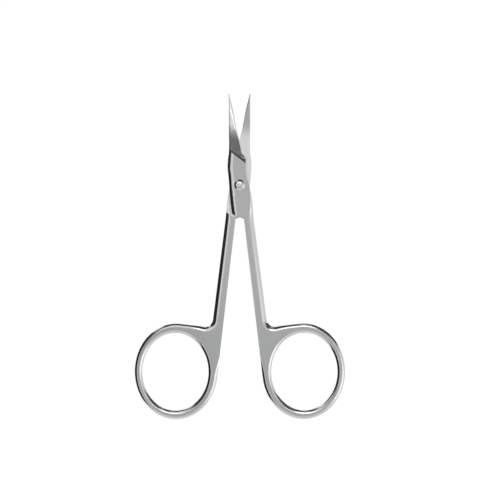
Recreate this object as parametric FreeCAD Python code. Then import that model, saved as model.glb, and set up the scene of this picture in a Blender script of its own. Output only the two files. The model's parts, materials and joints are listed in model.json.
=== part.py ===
import FreeCAD, Part
import math
import os
from FreeCAD import Vector

# Curved cuticle scissors, millimetres. The pair lies flat and open, tips towards +Y, and the
# pivot axis is Z, through the origin. Z = 0 is the plane that it rests on.
#
# Both halves are drawn from one outline in a frame of their own: closed, blade towards +Y,
# cutting edge and finger ring on the +X side, with the plane between the halves at Z = 0 and
# this half above it. The rear half is the same forging turned over, with its blade bent the
# other way.

# Opening, from closed to the pose that is drawn
front_open_angle = 6.8
rear_open_angle = 6.6

# Plate that both halves are forged from
half_thickness = 1.6
running_gap = 0.03
closed_gap = 0.1
stop_gap = 0.12

# Rounds of the forging. Each is part of an arc that meets the side at a slant: the blank is
# drawn wider by the margin, rounded, and then cut back to its outline.
side_round = 2.6
side_margin = 0.76
small_round = 0.45
web_round = 1.9
ring_round = 1.5
ring_margin = 0.33
tip_round = 0.24
tip_margin = 0.05

# Joint, measured from the pivot axis
joint_spine_reach = 3.5
joint_edge_reach = 3.42
neck_edge_reach = 2.5
joint_drop = 8.9
crotch_drop = 11.1
neck_height = 4.0

# Blade
blade_length = 29.45
blade_rise = 2.6
bend_start = 6.0
heel_height = 8.2
heel_reach = 2.95
root_height = 10.4
root_spine_reach = 2.3
root_edge_reach = 2.06
tip_width = 0.26
tip_thickness = 0.42
edge_bevel = 0.32
shoulder_spine_height = 10.45
shoulder_edge_height = 6.5
shoulder_lean = 42.0
shoulder_foot_lean = 15.0
shoulder_round = 4.5

# Shank
shank_top_drop = 12.5
shank_top_width = 3.2
shank_bottom_width = 3.5
shank_corner_radius = 2.6

# Finger ring
ring_drop = 62.2
finger_hole_width = 21.4
finger_hole_length = 25.1
ring_tilt = 6.7
ring_wall_shank = 2.85
ring_wall_outer = 2.45
ring_wall_top = 3.0
ring_wall_bottom = 2.75

# Pivot screw
screw_radius = 1.0
screw_clearance = 0.03
thread_clearance = 0.02
screw_head_radius = 1.74
screw_head_depth = 0.7
screw_head_rise = 0.34
screw_crown_radius = 1.16
screw_slot_width = 0.5
screw_slot_depth = 0.42
screw_slot_angle = 122.0
screw_tail_bevel = 0.12

# Overrun of every cutting shape past what it cuts
overrun = 2.0

# How far along the blade each station lies, and how much of the root's reach is left there
# on the spine side and on the edge side
blade_station_shares = [
    (0.12, 0.8185, 0.959), (0.3, 0.665, 0.71), (0.6, 0.39, 0.46), (0.85, 0.14, 0.23),
]

# How much of the blade's thickness the ground facet leaves at the spine, and where the cutting
# bevel starts, at the root, at each station and at the tip
spine_left_shares = [0.76, 0.72, 0.71, 0.76, 0.8, 0.8]
foot_left_shares = [0.5, 0.42, 0.36, 0.36, 0.48, 0.55]

# Most of a ring's wall that one of its rounds may take up
ring_round_share = 0.48

# How strongly the neck's curve sets off from the heel, and how near to a plan edge an edge of
# the blank counts as lying on it, as a share of the thickness
heel_pull_share = 0.5
near_share = 0.0025

# Spine side of the joint: share of its reach, at a share of its drop or of the heel's height
spine_low_shares = [(1.0, 1.0), (1.015, 0.58)]
spine_high_shares = [(0.965, 0.0), (0.925, 0.45), (0.9, 0.78), (0.82, 1.0)]

# Edge side of the joint: share of its reach, at a share of the drop
edge_side_shares = [(1.0, 0.82), (0.99, 0.45), (0.85, 0.0)]

half_gap = running_gap / 2
blade_reach_depth = blade_rise + half_thickness + overrun


def bow_radius(run, rise):
    """Radius of the arc that leaves a straight line smoothly and is off it by rise after run."""
    return (run * run + rise * rise) / (2 * rise)


def bow(run, radius):
    """How far such an arc is off the straight line after a run."""
    return radius - math.copysign(math.sqrt(radius * radius - run * run), radius)


bend_run = blade_length - bend_start
inner_radius = bow_radius(bend_run, blade_rise)


def inner_face_height(y, bend):
    """Height of the inner face of the blade, flat as far as the bend's start."""
    return half_gap + bend * bow(max(y - bend_start, 0), inner_radius)


def outer_face_height(y, bend):
    """Height of the outer face: the blade thins steadily from the joint to the tip."""
    fall = bend * blade_rise + tip_thickness - half_thickness
    return half_thickness + bow(max(y - bend_start, 0), bow_radius(bend_run, fall))


def prism(points, low, high):
    """Upright solid over a plan outline of straight lines."""
    base = [Vector(x, y, low) for x, y in points]
    return Part.Face(Part.makePolygon(base + base[:1])).extrude(Vector(0, 0, high - low))


def blade_places():
    """Height and both reaches of the blade at its root, at each station and at its tip."""
    run = blade_length - root_height
    places = [(root_height, root_spine_reach, root_edge_reach)]
    for along, spine, edge in blade_station_shares:
        places.append((root_height + along * run, spine * root_spine_reach, edge * root_edge_reach))
    places.append((blade_length, tip_width / 2, tip_width / 2))
    return places


def stop_line(side):
    """Ends of the slanting line across the joint's lower end, or of the stop that meets it."""
    lean = math.hypot(joint_spine_reach, crotch_drop - joint_drop)
    drop = stop_gap * lean / joint_spine_reach if side > 0 else 0
    outer = Vector(side * joint_spine_reach, -joint_drop - drop, 0)
    inner = Vector(0, -crotch_drop - drop, 0)
    return outer, inner


def spine_edges(margin, end_margin):
    """Spine side of the joint and of the blade, one smooth curve in two stretches."""
    reach = joint_spine_reach + margin
    points = [Vector(-s * reach, -h * joint_drop, 0) for s, h in spine_low_shares]
    points += [Vector(-s * reach, h * heel_height, 0) for s, h in spine_high_shares]
    for y, spine, edge in blade_places()[:-1]:
        points.append(Vector(-spine * (1 + margin / root_spine_reach), y, 0))
    points.append(Vector(-tip_width / 2 - end_margin, blade_length, 0))
    curve = Part.BSplineCurve()
    curve.interpolate(points)
    middle = curve.parameter(points[len(spine_low_shares) + len(spine_high_shares)])
    return (
        curve.toShape(curve.FirstParameter, middle),
        curve.toShape(middle, curve.LastParameter),
    )


def leaning_ellipse(centre, half_length, half_width):
    """Ellipse whose length leans by the ring's tilt, whichever of its half axes is the longer."""
    tilt = math.radians(ring_tilt)
    length_axis = Vector(math.sin(tilt), math.cos(tilt), 0) * half_length
    width_axis = Vector(math.cos(tilt), -math.sin(tilt), 0) * half_width
    if half_length < half_width:
        return Part.Ellipse(centre + width_axis, centre - length_axis, centre)
    return Part.Ellipse(centre + length_axis, centre + width_axis, centre)


def ring_ellipse(margin):
    """Outer edge of the finger ring, with its top point and the one next to the other ring."""
    across = (finger_hole_width + ring_wall_shank + ring_wall_outer) / 2
    along = (finger_hole_length + ring_wall_top + ring_wall_bottom) / 2
    tilt = math.radians(ring_tilt)
    centre = Vector(
        closed_gap / 2 + math.hypot(across * math.cos(tilt), along * math.sin(tilt)),
        -ring_drop + (ring_wall_top - ring_wall_bottom) / 2,
        0,
    )
    across += margin
    along += margin
    half_width = math.hypot(across * math.cos(tilt), along * math.sin(tilt))
    half_height = math.hypot(across * math.sin(tilt), along * math.cos(tilt))
    shift = (along * along - across * across) * math.sin(tilt) * math.cos(tilt)
    ellipse = leaning_ellipse(centre, along, across)
    top = centre + Vector(shift / half_height, half_height, 0)
    inner = centre - Vector(half_width, shift / half_width, 0)
    return ellipse, top, inner


def finger_hole(margin):
    """Plan outline of the hole in the finger ring."""
    ellipse, top, inner = ring_ellipse(0)
    centre = Vector(ellipse.Center.x + (ring_wall_shank - ring_wall_outer) / 2, -ring_drop, 0)
    hole = leaning_ellipse(centre, finger_hole_length / 2 - margin, finger_hole_width / 2 - margin)
    return hole.toShape()


def lower_arc(ellipse, start, end):
    """The stretch of the ellipse between two of its points that goes round by the bottom."""
    first = ellipse.parameter(start)
    last = ellipse.parameter(end)
    turn = 2 * math.pi
    one = ellipse.toShape(first, last + (turn if last < first else 0))
    other = ellipse.toShape(last, first + (turn if first < last else 0))
    return min((one, other), key=lambda edge: edge.BoundBox.YMin - edge.Length)


def ring_radius():
    """Radius of the rounds of the finger ring, held to what its thinnest wall takes."""
    thinnest = min(ring_wall_shank, ring_wall_outer, ring_wall_top, ring_wall_bottom)
    return min(ring_round, ring_round_share * (thinnest + 2 * ring_margin))


def handle_edges(margin, end_margin):
    """Edges from the heel round by the shank and the ring to the crotch, with their rounds.

    Each is an edge of the plan outline and the round's radius at its start and at its end.
    """
    ellipse, ring_top, ring_inner = ring_ellipse(end_margin)
    inner_x = ring_inner.x
    around = ring_radius()

    shank_top = Vector(closed_gap / 2 + shank_top_width + margin, -shank_top_drop, 0)
    shank_foot = Vector(closed_gap / 2 + shank_bottom_width + margin, ring_top.y, 0)
    down = (shank_foot - shank_top).normalize()
    along = Vector(1, 0, 0)
    opening = math.acos(-down.dot(along))
    radius = shank_corner_radius - (margin + end_margin) / 2
    tangent = radius / math.tan(opening / 2)
    corner_start = shank_foot - down * tangent
    corner_end = shank_foot + along * tangent
    to_centre = (along - down).normalize()
    corner_middle = shank_foot + to_centre * (radius / math.sin(opening / 2) - radius)

    points = [Vector(heel_reach + end_margin, heel_height, 0)]
    points.append(Vector(neck_edge_reach + end_margin, neck_height, 0))
    start_way = points[1] - points[0]
    for reach, drop in reversed(edge_side_shares):
        wider = end_margin + (margin - end_margin) * drop * drop
        points.append(Vector(reach * joint_edge_reach + wider, -drop * joint_drop, 0))
    points.append(shank_top)
    curve = Part.BSplineCurve()
    curve.interpolate(
        Points=points,
        InitialTangent=start_way * heel_pull_share,
        FinalTangent=down * start_way.Length,
    )
    neck_end = curve.parameter(points[2])

    web_end = Vector(inner_x, (ring_inner.y + ring_top.y) / 2, 0)
    crotch = Vector(inner_x, -crotch_drop, 0)
    stock_end = points[0] + start_way * ((blade_length - heel_height) / start_way.y)
    return [
        (Part.LineSegment(stock_end, points[0]).toShape(), small_round, small_round),
        (curve.toShape(curve.FirstParameter, neck_end), small_round, small_round),
        (curve.toShape(neck_end, curve.LastParameter), small_round, side_round),
        (Part.LineSegment(shank_top, corner_start).toShape(), side_round, side_round),
        (Part.Arc(corner_start, corner_middle, corner_end).toShape(), side_round, web_round),
        (Part.LineSegment(corner_end, ring_top).toShape(), web_round, around),
        (lower_arc(ellipse, ring_top, ring_inner), around, around),
        (Part.LineSegment(ring_inner, web_end).toShape(), around, small_round),
        (Part.LineSegment(web_end, crotch).toShape(), small_round, small_round),
    ]


def outline_face(margin, end_margin, ring_space):
    """Plan outline of the half with its finger hole, wider than the half by the margins."""
    spine = spine_edges(margin, end_margin)
    handle = [edge for edge, start, end in handle_edges(margin, ring_space)]
    corner = spine[0].valueAt(spine[0].FirstParameter)
    crotch = handle[-1].valueAt(handle[-1].LastParameter)
    tip = spine[1].valueAt(spine[1].LastParameter)
    stock_end = handle[0].valueAt(handle[0].FirstParameter)
    edges = list(spine) + handle
    edges.append(Part.LineSegment(crotch, corner).toShape())
    edges.append(Part.LineSegment(tip, stock_end).toShape())
    wire = Part.Wire(Part.__sortEdges__(edges))
    return Part.Face(wire).cut(Part.Face(Part.Wire([finger_hole(ring_space)]))).Faces[0]


def side_profile(bend):
    """Slab of everything under the half's outer face, seen from the side."""
    far = -(ring_drop + finger_hole_length)
    fall_end = outer_face_height(blade_length, bend)
    fall_middle = outer_face_height((bend_start + blade_length) / 2, bend)
    reach = finger_hole_width + finger_hole_length
    points = [
        Vector(-reach, bend_start, half_thickness),
        Vector(-reach, far, half_thickness),
        Vector(-reach, far, -blade_reach_depth),
        Vector(-reach, blade_length, -blade_reach_depth),
        Vector(-reach, blade_length, fall_end),
    ]
    edges = [Part.LineSegment(a, b).toShape() for a, b in zip(points, points[1:])]
    middle = Vector(-reach, (bend_start + blade_length) / 2, fall_middle)
    edges.append(Part.Arc(points[-1], middle, points[0]).toShape())
    return Part.Face(Part.Wire(edges)).extrude(Vector(2 * reach, 0, 0))


def rounds_along(solid, chain):
    """The blank's upper edges over a chain of plan edges, numbered, with their radii.

    A chain's rounds are one sweep, which runs the way that the first edge found is drawn.
    """
    near = near_share * half_thickness
    found = []
    for number, edge in enumerate(solid.Edges, 1):
        middle = edge.valueAt((edge.FirstParameter + edge.LastParameter) / 2)
        way = edge.valueAt(edge.LastParameter) - edge.valueAt(edge.FirstParameter)
        upright = len(edge.Vertexes) == 2 and math.hypot(way.x, way.y) < near
        if upright or middle.z < -blade_reach_depth + near:
            continue
        for plan, start, end in chain:
            if plan.distToShape(Part.Vertex(Vector(middle.x, middle.y, 0)))[0] < near:
                plan_way = plan.valueAt(plan.LastParameter) - plan.valueAt(plan.FirstParameter)
                found.append((number, start, end, way.dot(plan_way) < 0))
                break
    backwards = found[0][3]
    return [
        (number, end, start) if backwards else (number, start, end)
        for number, start, end, against in found
    ]


def rounded(solid, wanted):
    """The blank with rounds along its numbered edges."""
    document = FreeCAD.newDocument("blank")
    base = document.addObject("Part::Feature", "base")
    base.Shape = solid
    result = document.addObject("Part::Fillet", "rounds")
    result.Base = base
    result.Edges = wanted
    document.recompute()
    shape = result.Shape.copy()
    FreeCAD.closeDocument(document.Name)
    return shape


def upper_forging(bend):
    """The half's outline with its rounded outer face, reaching far down below it."""
    height = 2 * blade_reach_depth
    wide = outline_face(side_margin, tip_margin, ring_margin)
    wide.translate(Vector(0, 0, -height / 2))
    solid = wide.extrude(Vector(0, 0, height)).common(side_profile(bend)).Solids[0]

    spine_joint, spine_blade = spine_edges(side_margin, tip_margin)
    spine = [(spine_joint, side_round, side_round), (spine_blade, side_round, tip_round)]
    hole = [(finger_hole(ring_margin), ring_radius(), ring_radius())]
    wanted = []
    for chain in (spine, handle_edges(side_margin, ring_margin), hole):
        wanted += rounds_along(solid, chain)

    true_outline = outline_face(0, 0, 0)
    true_outline.translate(Vector(0, 0, -height / 2))
    return rounded(solid, wanted).common(true_outline.extrude(Vector(0, 0, height)))


def beside_stop(side, low, high):
    """Everything on the blade's side of the stop, or on the handle's side of it."""
    reach = side * (blade_length + ring_drop)
    outer, inner = stop_line(1)
    slope = (outer - inner) * (abs(reach) / joint_spine_reach)
    right = inner + slope
    left = inner - slope
    corners = [(left.x, left.y), (right.x, right.y), (right.x, 2 * reach), (left.x, 2 * reach)]
    return prism(corners, low, high)


def inner_side(bend):
    """Everything below the inner face, as far down as the stop: a turned shape about the pivot."""
    reach = blade_length + overrun
    middle_run = (bend_start + reach) / 2
    start = Vector(bend_start, 0, half_gap)
    middle = Vector(middle_run, 0, inner_face_height(middle_run, bend))
    end = Vector(reach, 0, inner_face_height(reach, bend))
    base = -2 * blade_reach_depth
    corners = [end, Vector(reach, 0, base), Vector(0, 0, base), Vector(0, 0, half_gap), start]
    edges = [Part.LineSegment(a, b).toShape() for a, b in zip(corners, corners[1:])]
    edges.append(Part.Arc(start, middle, end).toShape())
    bowl = Part.Face(Part.Wire(edges)).revolve(Vector(0, 0, 0), Vector(0, 0, 1), 360)
    return bowl.common(beside_stop(1, base, -base))


def facet_section(y, spine, edge, spine_left, foot_left, bend):
    """Section of what is ground off the blade's outer face: main facet and cutting bevel."""
    inner = inner_face_height(y, bend)
    thickness = outer_face_height(y, bend) - inner
    bevel = min(edge_bevel, (spine + edge) / 2)
    foot_x = edge - bevel
    foot_z = inner + foot_left * thickness
    facet_slope = (spine_left - foot_left) * thickness / (foot_x + spine)
    bevel_slope = foot_left * thickness / bevel
    left = -spine - side_margin
    right = 2 * heel_reach + overrun
    top = inner + thickness + overrun
    points = [
        Vector(left, y, foot_z + facet_slope * (foot_x - left)),
        Vector(foot_x, y, foot_z),
        Vector(right, y, foot_z - bevel_slope * (right - foot_x)),
        Vector(right, y, top),
        Vector(left, y, top),
    ]
    return Part.makePolygon(points + points[:1])


def ground_off(bend):
    """What is ground off the blade: its heel, and its outer face as far as the shoulder."""
    places = blade_places()
    rows = list(zip(places, spine_left_shares, foot_left_shares))
    sections = [
        facet_section(y, spine, edge, spine_left, foot_left, bend)
        for (y, spine, edge), spine_left, foot_left in rows
    ]
    (tip, tip_spine, tip_edge), tip_left, tip_foot_left = rows[-1]
    sections.append(
        facet_section(tip + overrun, tip_spine, tip_edge, tip_left, tip_foot_left, bend)
    )
    blade = Part.makeLoft(sections, True, False)
    (root, root_spine, root_edge), root_left, root_foot_left = rows[0]
    low = heel_height - overrun
    low_edge = root_edge + (heel_reach - root_edge) * (root - low) / (root - heel_height)
    low_section = facet_section(low, root_spine, low_edge, root_left, root_foot_left, bend)
    root_part = Part.makeLoft([low_section, sections[0]], True, True)
    face = blade.fuse(root_part).common(past_shoulder())

    side = 2 * heel_reach + overrun
    corners = [(low_edge, low), (side, low), (side, root), (root_edge, root)]
    return face.fuse(prism(corners, -2 * blade_reach_depth, 2 * blade_reach_depth))


def past_shoulder():
    """The space on the tip's side of the shoulder, which is hollow like the wheel's rim."""
    spine_end = Vector(-root_spine_reach / 2, shoulder_spine_height, half_thickness)
    edge_end = Vector(heel_reach, shoulder_edge_height, half_thickness)
    way = (edge_end - spine_end).normalize()
    onward = Vector(-way.y, way.x, 0)
    up = Vector(0, 0, 1)
    leans = [math.radians(lean) for lean in (shoulder_lean, shoulder_foot_lean)]
    radii = [
        (onward * math.sin(lean) + up * math.cos(lean)) * shoulder_round
        for lean in (leans[0], sum(leans) / 2, leans[1])
    ]
    brink = spine_end - way * blade_length
    middle = brink + radii[0] - radii[1]
    bottom = brink + radii[0] - radii[2]
    deep = bottom - up * (2 * blade_reach_depth)
    far = onward * (2 * blade_length)
    top = brink + up * blade_reach_depth
    edges = [Part.Arc(brink, middle, bottom).toShape()]
    corners = [bottom, deep, deep + far, top + far, top, brink]
    edges += [Part.LineSegment(a, b).toShape() for a, b in zip(corners, corners[1:])]
    return Part.Face(Part.Wire(edges)).extrude(way * (2 * blade_length))


def half(bend):
    """One half in its own frame, without its screw hole.

    The shank and the ring are as round below as above.
    """
    upper = upper_forging(bend)
    depth = 2 * blade_reach_depth
    handle = upper.common(beside_stop(-1, 0, depth))
    body = upper.cut(beside_stop(-1, -depth, 0))
    body = body.cut(inner_side(bend))
    body = body.cut(ground_off(bend))
    body = body.fuse(handle.mirror(Vector(0, 0, 0), Vector(0, 0, 1)))
    return body.removeSplitter()


def turned(points):
    """Solid of revolution about the pivot axis from radius and height pairs."""
    profile = [Vector(r, 0, z) for r, z in points]
    face = Part.Face(Part.makePolygon(profile + profile[:1]))
    return face.revolve(Vector(0, 0, 0), Vector(0, 0, 1), 360)


def front_half():
    """Upper half, with the countersunk hole that the screw's head sits in."""
    body = half(1)
    low = -overrun
    high = half_thickness + overrun
    bore = screw_radius + screw_clearance
    seat = screw_head_radius + screw_clearance
    foot = half_thickness - screw_head_depth
    cutter = turned(
        [(0, low), (bore, low), (bore, foot), (seat, half_thickness), (seat, high), (0, high)]
    )
    body = body.cut(cutter)
    body.rotate(Vector(0, 0, 0), Vector(0, 0, 1), front_open_angle)
    body.translate(Vector(0, 0, half_thickness))
    return body


def rear_half():
    """Lower half: the forging turned over, with the hole that the screw is fast in."""
    body = half(-1)
    bore = screw_radius + thread_clearance
    body = body.cut(turned([(0, -overrun), (bore, -overrun), (bore, half_thickness + overrun),
                            (0, half_thickness + overrun)]))
    body.rotate(Vector(0, 0, 0), Vector(0, 1, 0), 180)
    body.rotate(Vector(0, 0, 0), Vector(0, 0, 1), -rear_open_angle)
    body.translate(Vector(0, 0, half_thickness))
    return body


def pivot_screw():
    """Slotted screw with a raised countersunk head, its tail ground flush with the rear half."""
    top = 2 * half_thickness
    foot = top - screw_head_depth
    crown = top + screw_head_rise
    tail = screw_radius - screw_tail_bevel
    body = turned(
        [(0, 0), (tail, 0), (screw_radius, screw_tail_bevel), (screw_radius, foot),
         (screw_head_radius, top), (screw_crown_radius, crown), (0, crown)]
    )
    slot = Part.makeBox(
        4 * screw_head_radius, screw_slot_width, crown,
        Vector(-2 * screw_head_radius, -screw_slot_width / 2, crown - screw_slot_depth),
    )
    slot.rotate(Vector(0, 0, 0), Vector(0, 0, 1), screw_slot_angle)
    return body.cut(slot)


os.makedirs("parts", exist_ok=True)
for name, maker in (("front_half", front_half), ("rear_half", rear_half),
                    ("pivot_screw", pivot_screw)):
    shape = maker()
    print(name, shape.isValid(), len(shape.Solids), round(shape.Volume, 2), shape.BoundBox)
    shape.exportStep("parts/" + name + ".step")
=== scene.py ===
import json
import math

import bmesh
import bpy
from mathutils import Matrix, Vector

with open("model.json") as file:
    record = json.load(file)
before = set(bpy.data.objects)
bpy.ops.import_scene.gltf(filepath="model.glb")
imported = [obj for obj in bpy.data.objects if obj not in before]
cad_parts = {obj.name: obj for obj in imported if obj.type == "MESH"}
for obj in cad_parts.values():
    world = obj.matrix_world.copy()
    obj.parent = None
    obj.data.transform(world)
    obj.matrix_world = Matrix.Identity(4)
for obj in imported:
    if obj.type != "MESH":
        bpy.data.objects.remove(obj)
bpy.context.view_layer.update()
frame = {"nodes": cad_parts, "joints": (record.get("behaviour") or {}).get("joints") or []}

# Camera: straight above the open pair, with the tips up the picture, as in the photograph. The
# picture is 480 pixels wide at 3.1 pixels to the millimetre, which holds halfway up the front
# half's joint, and the pivot lies above its middle.

PICTURE_PX = 480
PX_PER_METRE = 3100.0
PIVOT_PX = (239.6, 185.13)
SCALE_HEIGHT = 0.0024
LENS_MM = 100.0
SENSOR_MM = 36.0

scene = bpy.context.scene
scene.view_settings.view_transform = "Standard"

camera_data = bpy.data.cameras.new("camera")
camera_data.lens = LENS_MM
camera_data.sensor_width = SENSOR_MM
camera = bpy.data.objects.new("camera", camera_data)
camera.location = (
    (PICTURE_PX / 2 - PIVOT_PX[0]) / PX_PER_METRE,
    (PIVOT_PX[1] - PICTURE_PX / 2) / PX_PER_METRE,
    SCALE_HEIGHT + PICTURE_PX / PX_PER_METRE * LENS_MM / SENSOR_MM,
)
scene.collection.objects.link(camera)
scene.camera = camera

# Tent: the pair lies in a tent of white cloth, which the camera shades straight above. A softbox
# shines in beyond the tips and a weaker one from the right. The dark room beyond the tent's
# openings and the camera's arm draw the black lines on the polished steel.

# Brightness of the cloth by how far a ray rises, from 0 at the horizon to 1 straight up
CLOTH_LEVELS = [
    (0.0, 0.90),
    (0.5, 0.78),
    (0.766, 0.70),
    (0.866, 0.655),
    (0.94, 0.585),
    (0.985, 0.53),
]

# Azimuth anticlockwise from +X and angle from straight up of both ends of the panel's middle
# line, its half width, the softness of its edges, all in degrees, and its brightness
PANELS = {
    "softbox": ((73, 10), (73, 38), 14, 5, 1.9),
    "front_softbox": ((340, 26), (338, 62), 14, 8, 1.35),
    "opening_left": ((176, 38), (176, 92), 42, 4, 0.02),
    "opening_upper_left": ((170, 26), (128, 40), 7, 4, 0.12),
    "opening_far": ((24, 74), (116, 74), 24, 4, 0.04),
    "camera_arm": ((40, 20), (56, 90), 8, 4, 0.10),
}


def add_node(tree, kind, inputs=None, **settings):
    """Adds a node with its settings. An input is a value, or another node's output to link."""
    node = tree.nodes.new(kind)
    for name, value in settings.items():
        setattr(node, name, value)
    for name, value in (inputs or {}).items():
        if isinstance(value, bpy.types.NodeSocket):
            tree.links.new(value, node.inputs[name])
        else:
            node.inputs[name].default_value = value
    return node


def towards(azimuth, lean):
    """Unit vector at an azimuth from +X that leans by an angle from straight up, in degrees."""
    turn = math.radians(azimuth)
    lean = math.radians(lean)
    return Vector((math.sin(lean) * math.cos(turn), math.sin(lean) * math.sin(turn), math.cos(lean)))


def panel_mask(tree, ray, panel):
    """Where a ray meets a panel of the tent: 1 on it, 0 beside it, with soft edges."""
    start, end, half_width, softness, level = panel
    first = towards(*start)
    last = towards(*end)
    middle = (first + last).normalized()
    along = (last - first).normalized()
    across = middle.cross(along)
    half_length = math.degrees(first.angle(last)) / 2
    mask = add_node(tree, "ShaderNodeVectorMath", {0: ray, 1: middle}, operation="DOT_PRODUCT")
    mask = add_node(tree, "ShaderNodeMath", {0: mask.outputs["Value"], 1: 0.0},
                    operation="GREATER_THAN")
    for axis, half in ((along, half_length), (across, half_width)):
        reach = add_node(tree, "ShaderNodeVectorMath", {0: ray, 1: axis}, operation="DOT_PRODUCT")
        reach = add_node(tree, "ShaderNodeMath", {0: reach.outputs["Value"]}, operation="ABSOLUTE")
        edge = add_node(
            tree, "ShaderNodeMapRange",
            {"Value": reach.outputs[0],
             "From Min": math.sin(math.radians(half - softness)),
             "From Max": math.sin(math.radians(half + softness)),
             "To Min": 1.0, "To Max": 0.0},
            interpolation_type="SMOOTHSTEP",
        )
        mask = add_node(tree, "ShaderNodeMath", {0: mask.outputs[0], 1: edge.outputs["Result"]},
                        operation="MULTIPLY")
    return mask.outputs[0]


tent = bpy.data.worlds.new("white_cloth_tent")
scene.world = tent
tent.use_nodes = True
tree = tent.node_tree
tree.nodes.clear()
ray = add_node(tree, "ShaderNodeTexCoord").outputs["Generated"]
rise = add_node(tree, "ShaderNodeSeparateXYZ", {"Vector": ray}).outputs["Z"]
cloth = add_node(tree, "ShaderNodeValToRGB", {"Fac": rise})
stops = cloth.color_ramp.elements
brightest = CLOTH_LEVELS[0][1]
for number, (height, level) in enumerate(CLOTH_LEVELS):
    stop = stops[number] if number < len(stops) else stops.new(height)
    stop.position = height
    grey = level / brightest
    stop.color = (grey, grey, grey, 1)
light = add_node(tree, "ShaderNodeMath", {0: cloth.outputs["Color"], 1: brightest},
                 operation="MULTIPLY").outputs[0]
for panel in PANELS.values():
    mask = panel_mask(tree, ray, panel)
    light = add_node(tree, "ShaderNodeMix",
                     {"Factor": mask, "A": light, "B": panel[-1]}).outputs["Result"]
seen = add_node(tree, "ShaderNodeLightPath").outputs["Is Camera Ray"]
light = add_node(tree, "ShaderNodeMix", {"Factor": seen, "A": light, "B": 1.0}).outputs["Result"]
shine = add_node(tree, "ShaderNodeBackground", {"Color": (1, 1, 1, 1), "Strength": light})
add_node(tree, "ShaderNodeOutputWorld", {"Surface": shine.outputs["Background"]})

# Table: a sheet of matt white card under the pair. The photograph's ground is burnt out to pure
# white, so where the camera or a reflection sees the card, most of its own shade gives way to
# white, a little over 1 to make up for the rest, and only a faint shadow is left.

CARD_HALF = 4.0
CARD_WHITE = 0.97
CARD_BURNT_OUT = 0.86
CARD_GLOW = 1.10

shape = bmesh.new()
bmesh.ops.create_grid(shape, x_segments=1, y_segments=1, size=CARD_HALF)
card_mesh = bpy.data.meshes.new("table_card")
shape.to_mesh(card_mesh)
shape.free()
card = bpy.data.objects.new("table_card", card_mesh)
scene.collection.objects.link(card)

white_card = bpy.data.materials.new("matt_white_card")
white_card.use_nodes = True
tree = white_card.node_tree
tree.nodes.clear()
paper = add_node(tree, "ShaderNodeBsdfDiffuse", {"Color": (CARD_WHITE, CARD_WHITE, CARD_WHITE, 1)})
glow = add_node(tree, "ShaderNodeEmission", {"Strength": CARD_GLOW})
path = add_node(tree, "ShaderNodeLightPath")
seen = add_node(tree, "ShaderNodeMath",
                {0: path.outputs["Is Camera Ray"], 1: path.outputs["Is Glossy Ray"]},
                operation="MAXIMUM")
seen = add_node(tree, "ShaderNodeMath",
                {0: seen.outputs[0], 1: path.outputs["Is Transmission Ray"]}, operation="MAXIMUM")
burnt_out = add_node(tree, "ShaderNodeMath", {0: seen.outputs[0], 1: CARD_BURNT_OUT},
                     operation="MULTIPLY")
look = add_node(tree, "ShaderNodeMixShader",
                {0: burnt_out.outputs[0], 1: paper.outputs["BSDF"], 2: glow.outputs["Emission"]})
add_node(tree, "ShaderNodeOutputMaterial", {"Surface": look.outputs["Shader"]})
card_mesh.materials.append(white_card)

# Flags: small cards that hang over and beside the pair and show only in the steel's reflections.
# Over the blades a black and a white one draw the dark foot and the white tip of the ground
# facet, and at the left a pale, a grey and a black one draw the lines along the shank.

# Two corners of the card, its height, and the place along X and the brightness where its shade
# begins and where it ends
FLAGS = {
    "black_flag": ((0.0082, 0.0105), (0.027, 0.030), 0.062, (0.0185, 0.17), (0.027, 0.7)),
    "white_flag": ((0.0125, 0.0115), (0.042, 0.027), 0.030, (0.0125, 0.75), (0.0165, 1.6)),
    "pale_flag_left": ((-0.046, -0.044), (-0.0115, 0.030), 0.062, (-0.046, 0.82), (-0.0115, 0.88)),
    "grey_flag_left": ((-0.086, -0.003), (-0.046, 0.050), 0.062, (-0.086, 0.12), (-0.046, 0.80)),
    "black_flag_left": ((-0.062, -0.022), (-0.032, 0.005), 0.030, (-0.062, 0.03), (-0.032, 0.03)),
}

for name, (near, far, level, begin, end) in FLAGS.items():
    shape = bmesh.new()
    bmesh.ops.create_grid(shape, x_segments=1, y_segments=1, size=0.5)
    bmesh.ops.scale(shape, verts=shape.verts, vec=(far[0] - near[0], far[1] - near[1], 1))
    middle = ((near[0] + far[0]) / 2, (near[1] + far[1]) / 2, level)
    bmesh.ops.translate(shape, verts=shape.verts, vec=middle)
    flag_mesh = bpy.data.meshes.new(name)
    shape.to_mesh(flag_mesh)
    shape.free()
    flag = bpy.data.objects.new(name, flag_mesh)
    scene.collection.objects.link(flag)
    flag.visible_camera = False
    flag.visible_diffuse = False
    flag.visible_shadow = False
    paint = bpy.data.materials.new(name)
    paint.use_nodes = True
    tree = paint.node_tree
    tree.nodes.clear()
    shade = begin[1]
    if end[1] != begin[1]:
        place = add_node(tree, "ShaderNodeTexCoord").outputs["Object"]
        along = add_node(tree, "ShaderNodeSeparateXYZ", {"Vector": place}).outputs["X"]
        shade = add_node(tree, "ShaderNodeMapRange",
                         {"Value": along, "From Min": begin[0], "From Max": end[0],
                          "To Min": begin[1], "To Max": end[1]},
                         interpolation_type="SMOOTHSTEP").outputs["Result"]
    glow = add_node(tree, "ShaderNodeEmission", {"Strength": shade})
    add_node(tree, "ShaderNodeOutputMaterial", {"Surface": glow.outputs["Emission"]})
    flag_mesh.materials.append(paint)

# The two halves: each is one forging of stainless steel, ground to shape and polished on felt.
# The flat top and underside are brushed on a fine belt up to the blade. The faces that meet at
# the joint and along the blades are ground flat last and stay matt, but for the finer tips.

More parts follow.
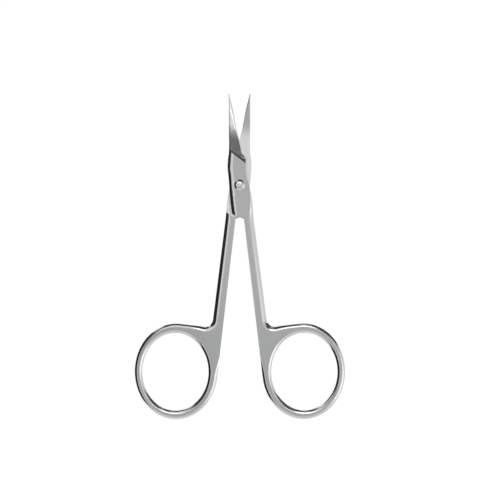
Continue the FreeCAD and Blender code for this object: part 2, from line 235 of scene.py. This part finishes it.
STEEL = "E0E1E2"
STEEL_WORN = "DADBDC"
# Paler colour of the ground faces: painted sheen, lighter than the steel's own colour
GROUND_STEEL_PAINTED_SHEEN = "F0F1F2"
# Darker colour of the brushed flats and the finer tips: painted shade, darker than the steel's own
# colour
BRUSHED_STEEL_PAINTED_SHADE = "C3C4C5"
POLISHED_ROUGHNESS = 0.11
HAIRLINE_ROUGHNESS = 0.17
BRUSHED_ROUGHNESS = 0.45
GROUND_ROUGHNESS = 0.5

# The halves meet at the level of the pivot's joint, and each is as thick as that level is high
JOINT_LEVEL = frame["joints"][0]["pos_m"][2]
HALF_THICKNESS = JOINT_LEVEL

# Where the finishes lie, and with them the painted sheen and the painted shade. A pair goes from
# where a finish begins to where it is full: along the piece, below its full thickness, or by how
# much its face looks at the other half, or up or down
GROUND_ALONG = (-0.0115, -0.0110)
GROUND_FACING = (0.86, 0.93)
LEVEL_PULL = 20.0
FINER_TIP = (0.0150, 0.0215)
BRUSHED_UP_TO = 0.012
BRUSHED_BELOW_TOP = (0.00006, 0.00002)
BRUSHED_FACING = (0.985, 0.9985)
ROUNDED_TIP = (0.0175, 0.0200)
FRONT_EDGE_ROUND = 0.0007
REAR_EDGE_ROUND = 0.0003
EDGE_SAMPLES = 8

# Patterns, their sizes in millimetres along each axis, and their depths in metres
MM_PER_METRE = 1000.0
HAIRLINE_SIZE = (1 / 7, 4, 1 / 7)
HAIRLINE_LEAN = 8
HAIRLINE_SHARE = (0.55, 0.8)
WEAR_SIZE = 6
FELT_WAVE = 3
FELT_DEPTH = 0.0000015
GROUND_LINE_SIZE = (2.5, 0.25, 2.5)
GROUND_LINE_DEPTH = 0.000002

WELD_WITHIN = 0.000002
SHARP_FROM = 24


def srgb(code):
    """Linear colour of an sRGB hex value."""
    parts = [int(code[i:i + 2], 16) / 255 for i in (0, 2, 4)]
    return tuple(p / 12.92 if p <= 0.04045 else ((p + 0.055) / 1.055) ** 2.4 for p in parts) + (1,)


def per_metre(sizes):
    """Scale of a pattern along each axis, from its sizes in millimetres."""
    return tuple(MM_PER_METRE / size for size in sizes)


def polished_stainless_steel(name, inner_side, edge_round):
    """Felt-polished stainless steel with ground inner faces, up (1) or down (-1).

    The polish shows sharp reflections, a slow waviness left by the felt and faint hairlines along
    the piece. The brushed flats and the finer tips are painted an even darker grey, a painted
    shade, and the ground faces a paler colour, a painted sheen, with fine lines across the blade.
    """
    steel = bpy.data.materials.new(name)
    steel.use_nodes = True
    tree = steel.node_tree
    surface = tree.nodes["Principled BSDF"]
    surface.inputs["Metallic"].default_value = 1.0
    place = add_node(tree, "ShaderNodeTexCoord")
    at = add_node(tree, "ShaderNodeSeparateXYZ", {"Vector": place.outputs["Object"]})
    normal = add_node(tree, "ShaderNodeSeparateXYZ", {"Vector": place.outputs["Normal"]})

    # The ground face looks at the other half and begins below the joint, where it lies at the
    # joint's level: there a step off that level counts as far below the joint, and on the blade,
    # which curves up, it doesn't count
    facing = add_node(tree, "ShaderNodeMath", {0: normal.outputs["Z"], 1: inner_side},
                      operation="MULTIPLY")
    facing = add_node(tree, "ShaderNodeMapRange",
                      {"Value": facing.outputs[0], "From Min": GROUND_FACING[0],
                       "From Max": GROUND_FACING[1]})
    above = add_node(tree, "ShaderNodeMath",
                     {0: at.outputs["Z"], 1: -inner_side * LEVEL_PULL,
                      2: inner_side * LEVEL_PULL * JOINT_LEVEL}, operation="MULTIPLY_ADD")
    above = add_node(tree, "ShaderNodeMath", {0: above.outputs[0], 1: at.outputs["Y"]},
                     operation="ADD")
    above = add_node(tree, "ShaderNodeMapRange",
                     {"Value": above.outputs[0], "From Min": GROUND_ALONG[0],
                      "From Max": GROUND_ALONG[1]})
    blade = add_node(tree, "ShaderNodeMath", {0: at.outputs["Y"], 1: 0.0},
                     operation="GREATER_THAN")
    above = add_node(tree, "ShaderNodeMath", {0: above.outputs["Result"], 1: blade.outputs[0]},
                     operation="MAXIMUM")
    ground = add_node(tree, "ShaderNodeMath",
                      {0: facing.outputs["Result"], 1: above.outputs[0]}, operation="MULTIPLY")
    tip = add_node(tree, "ShaderNodeMapRange",
                   {"Value": at.outputs["Y"], "From Min": FINER_TIP[0],
                    "From Max": FINER_TIP[1]}, interpolation_type="SMOOTHSTEP")
    tip = add_node(tree, "ShaderNodeMath", {0: ground.outputs[0], 1: tip.outputs["Result"]},
                   operation="MULTIPLY")
    # The ground face but for its tip: rougher, and painted paler as a painted sheen
    matt_and_painted_sheen = add_node(tree, "ShaderNodeMath", {0: ground.outputs[0], 1: tip.outputs[0]},
                    operation="SUBTRACT")

    # The brushed flats: level faces at the full thickness, below the blade, and the finer tip. All
    # of them are painted a darker grey, a painted shade
    off_joint = add_node(tree, "ShaderNodeMath", {0: at.outputs["Z"], 1: JOINT_LEVEL},
                         operation="SUBTRACT")
    off_joint = add_node(tree, "ShaderNodeMath", {0: off_joint.outputs[0]}, operation="ABSOLUTE")
    off_joint = add_node(tree, "ShaderNodeMapRange",
                         {"Value": off_joint.outputs[0],
                          "From Min": HALF_THICKNESS - BRUSHED_BELOW_TOP[0],
                          "From Max": HALF_THICKNESS - BRUSHED_BELOW_TOP[1]})
    level = add_node(tree, "ShaderNodeMath", {0: normal.outputs["Z"]}, operation="ABSOLUTE")
    level = add_node(tree, "ShaderNodeMapRange",
                     {"Value": level.outputs[0], "From Min": BRUSHED_FACING[0],
                      "From Max": BRUSHED_FACING[1]})
    below_blade = add_node(tree, "ShaderNodeMath", {0: at.outputs["Y"], 1: BRUSHED_UP_TO},
                           operation="LESS_THAN")
    brushed_and_painted_shade = add_node(tree, "ShaderNodeMath",
                       {0: off_joint.outputs["Result"], 1: level.outputs["Result"]},
                       operation="MULTIPLY")
    brushed_and_painted_shade = add_node(tree, "ShaderNodeMath",
                       {0: brushed_and_painted_shade.outputs[0], 1: below_blade.outputs[0], 2: tip.outputs[0]},
                       operation="MULTIPLY_ADD")

    # Hairlines from wiping and handling: 0.02 mm wide in truth, drawn 0.14 mm wide to show
    stretch = add_node(tree, "ShaderNodeMapping",
                       {"Vector": place.outputs["Object"], "Scale": per_metre(HAIRLINE_SIZE),
                        "Rotation": (0, 0, math.radians(HAIRLINE_LEAN))})
    hairlines = add_node(tree, "ShaderNodeTexNoise",
                         {"Vector": stretch.outputs["Vector"], "Scale": 1.0, "Detail": 2.0})
    hairlines = add_node(tree, "ShaderNodeMapRange",
                         {"Value": hairlines.outputs["Fac"], "From Min": HAIRLINE_SHARE[0],
                          "From Max": HAIRLINE_SHARE[1], "To Min": POLISHED_ROUGHNESS,
                          "To Max": HAIRLINE_ROUGHNESS})
    roughness = add_node(tree, "ShaderNodeMix",
                         {"Factor": matt_and_painted_sheen.outputs[0], "A": hairlines.outputs["Result"],
                          "B": GROUND_ROUGHNESS})
    roughness = add_node(tree, "ShaderNodeMix",
                         {"Factor": brushed_and_painted_shade.outputs[0], "A": roughness.outputs["Result"],
                          "B": BRUSHED_ROUGHNESS})
    tree.links.new(roughness.outputs["Result"], surface.inputs["Roughness"])

    # Slow change of shade over about 6 mm, where fingers have dulled the polish
    wear = add_node(tree, "ShaderNodeTexNoise",
                    {"Vector": place.outputs["Object"], "Scale": MM_PER_METRE / WEAR_SIZE,
                     "Detail": 3.0})
    shade = add_node(tree, "ShaderNodeMix",
                     {0: wear.outputs["Fac"], 6: srgb(STEEL), 7: srgb(STEEL_WORN)},
                     data_type="RGBA")
    # Painted sheen: the ground faces get the paler colour, so they look lit brighter than the polish
    shade = add_node(tree, "ShaderNodeMix",
                     {0: matt_and_painted_sheen.outputs[0], 6: shade.outputs[2], 7: srgb(GROUND_STEEL_PAINTED_SHEEN)},
                     data_type="RGBA")
    # Painted shade: the brushed flats and the finer tip get the darker grey
    shade = add_node(tree, "ShaderNodeMix",
                     {0: brushed_and_painted_shade.outputs[0], 6: shade.outputs[2], 7: srgb(BRUSHED_STEEL_PAINTED_SHADE)},
                     data_type="RGBA")
    tree.links.new(shade.outputs[2], surface.inputs["Base Color"])

    # The edges of the blade's tip are felted over, which draws a thin grey line along them. The
    # real rounding is about 0.1 mm wide, and it is drawn wider to show
    plain = add_node(tree, "ShaderNodeNewGeometry")
    rounded = add_node(tree, "ShaderNodeBevel", {"Radius": edge_round}, samples=EDGE_SAMPLES)
    at_tip = add_node(tree, "ShaderNodeMapRange",
                      {"Value": at.outputs["Y"], "From Min": ROUNDED_TIP[0],
                       "From Max": ROUNDED_TIP[1]})
    edges = add_node(tree, "ShaderNodeMix",
                     {0: at_tip.outputs["Result"], 4: plain.outputs["Normal"],
                      5: rounded.outputs["Normal"]}, data_type="VECTOR")

    # Waviness of the felted surface, 3 mm long and 1.5 micrometres deep, and the ground face's
    # lines across the blade, 0.05 mm apart in truth and drawn 0.25 mm apart to show
    felt = add_node(tree, "ShaderNodeTexNoise",
                    {"Vector": place.outputs["Object"], "Scale": MM_PER_METRE / FELT_WAVE,
                     "Detail": 1.0})
    waves = add_node(tree, "ShaderNodeBump",
                     {"Height": felt.outputs["Fac"], "Distance": FELT_DEPTH, "Strength": 1.0,
                      "Normal": edges.outputs[1]})
    across = add_node(tree, "ShaderNodeMapping",
                      {"Vector": place.outputs["Object"], "Scale": per_metre(GROUND_LINE_SIZE)})
    lines = add_node(tree, "ShaderNodeTexNoise",
                     {"Vector": across.outputs["Vector"], "Scale": 1.0, "Detail": 1.0})
    lines = add_node(tree, "ShaderNodeBump",
                     {"Height": lines.outputs["Fac"], "Distance": GROUND_LINE_DEPTH,
                      "Strength": matt_and_painted_sheen.outputs[0], "Normal": waves.outputs["Normal"]})
    tree.links.new(lines.outputs["Normal"], surface.inputs["Normal"])
    return steel


def even_out(piece, sharp_angle):
    """Joins the piece's loose triangles, keeps its sharp edges and evens its shading."""
    weld = piece.modifiers.new("weld", "WELD")
    weld.merge_threshold = WELD_WITHIN
    edges = piece.modifiers.new("sharp_edges", "EDGE_SPLIT")
    edges.split_angle = math.radians(sharp_angle)
    piece.modifiers.new("even_shading", "WEIGHTED_NORMAL")


for name, inner_side, edge_round in (("front_half", -1.0, FRONT_EDGE_ROUND),
                                     ("rear_half", 1.0, REAR_EDGE_ROUND)):
    half = frame["nodes"][name]
    steel = polished_stainless_steel(name + "_polished_steel", inner_side, edge_round)
    for slot in half.material_slots:
        slot.material = steel
    even_out(half, SHARP_FROM)

# Pivot screw: a slotted screw turned from stainless bar, with a raised countersunk head that is
# polished in the lathe. It is screwed into the rear half and its tail is ground off flush.

SCREW_STEEL = "DEDFE0"
SCREW_ROUGHNESS = (0.14, 0.26)
SCREW_GROOVE_DEPTH = 0.0000015
SCREW_SHARP_FROM = 30

# Sizes on the screw in millimetres, and the gap between a wave texture's rings at scale 1
SCREW_RING_GAP = 0.69
SCREW_RING_WANDER = 0.4
CROWN_RADIUS = 1.12
CROWN_BALL = 8.0
DIMPLE_RADIUS = 0.35
DIMPLE_DEPTH = 0.03
WAVE_GAP = math.pi / 10

turned_steel = bpy.data.materials.new("turned_stainless_steel")
turned_steel.use_nodes = True
tree = turned_steel.node_tree
surface = tree.nodes["Principled BSDF"]
surface.inputs["Metallic"].default_value = 1.0
surface.inputs["Base Color"].default_value = srgb(SCREW_STEEL)
place = add_node(tree, "ShaderNodeTexCoord").outputs["Object"]

# Rings left by the lathe tool round the screw's axis, which make its gleam waver: 0.05 mm apart
# in truth, drawn 0.69 mm apart to show
rings = add_node(tree, "ShaderNodeTexWave",
                 {"Vector": place, "Scale": WAVE_GAP / SCREW_RING_GAP * MM_PER_METRE,
                  "Distortion": SCREW_RING_WANDER},
                 wave_type="RINGS", rings_direction="Z")
gloss = add_node(tree, "ShaderNodeMapRange",
                 {"Value": rings.outputs["Fac"], "To Min": SCREW_ROUGHNESS[0],
                  "To Max": SCREW_ROUGHNESS[1]})
tree.links.new(gloss.outputs["Result"], surface.inputs["Roughness"])
grooves = add_node(tree, "ShaderNodeBump",
                   {"Height": rings.outputs["Fac"], "Distance": SCREW_GROOVE_DEPTH,
                    "Strength": 1.0})

# The crown is turned very slightly domed, 0.08 mm over its radius, with the lathe's centre dimple
off_axis = add_node(tree, "ShaderNodeMapping",
                    {"Vector": place, "Scale": (MM_PER_METRE, MM_PER_METRE, 0)})
off_axis = add_node(tree, "ShaderNodeVectorMath", {0: off_axis.outputs["Vector"]},
                    operation="LENGTH")
dimple = add_node(tree, "ShaderNodeMapRange",
                  {"Value": off_axis.outputs["Value"], "From Max": DIMPLE_RADIUS,
                   "To Min": -DIMPLE_DEPTH, "To Max": 0.0}, interpolation_type="SMOOTHSTEP")
dome = add_node(tree, "ShaderNodeMath", {0: off_axis.outputs["Value"], 1: CROWN_RADIUS},
                operation="MINIMUM")
dome = add_node(tree, "ShaderNodeMath", {0: dome.outputs[0], 1: 2.0}, operation="POWER")
dome = add_node(tree, "ShaderNodeMath",
                {0: dome.outputs[0], 1: -0.5 / CROWN_BALL, 2: dimple.outputs["Result"]},
                operation="MULTIPLY_ADD")
crown = add_node(tree, "ShaderNodeBump",
                 {"Height": dome.outputs[0], "Distance": 1 / MM_PER_METRE, "Strength": 1.0,
                  "Normal": grooves.outputs["Normal"]})
tree.links.new(crown.outputs["Normal"], surface.inputs["Normal"])

screw = frame["nodes"]["pivot_screw"]
for slot in screw.material_slots:
    slot.material = turned_steel
even_out(screw, SCREW_SHARP_FROM)
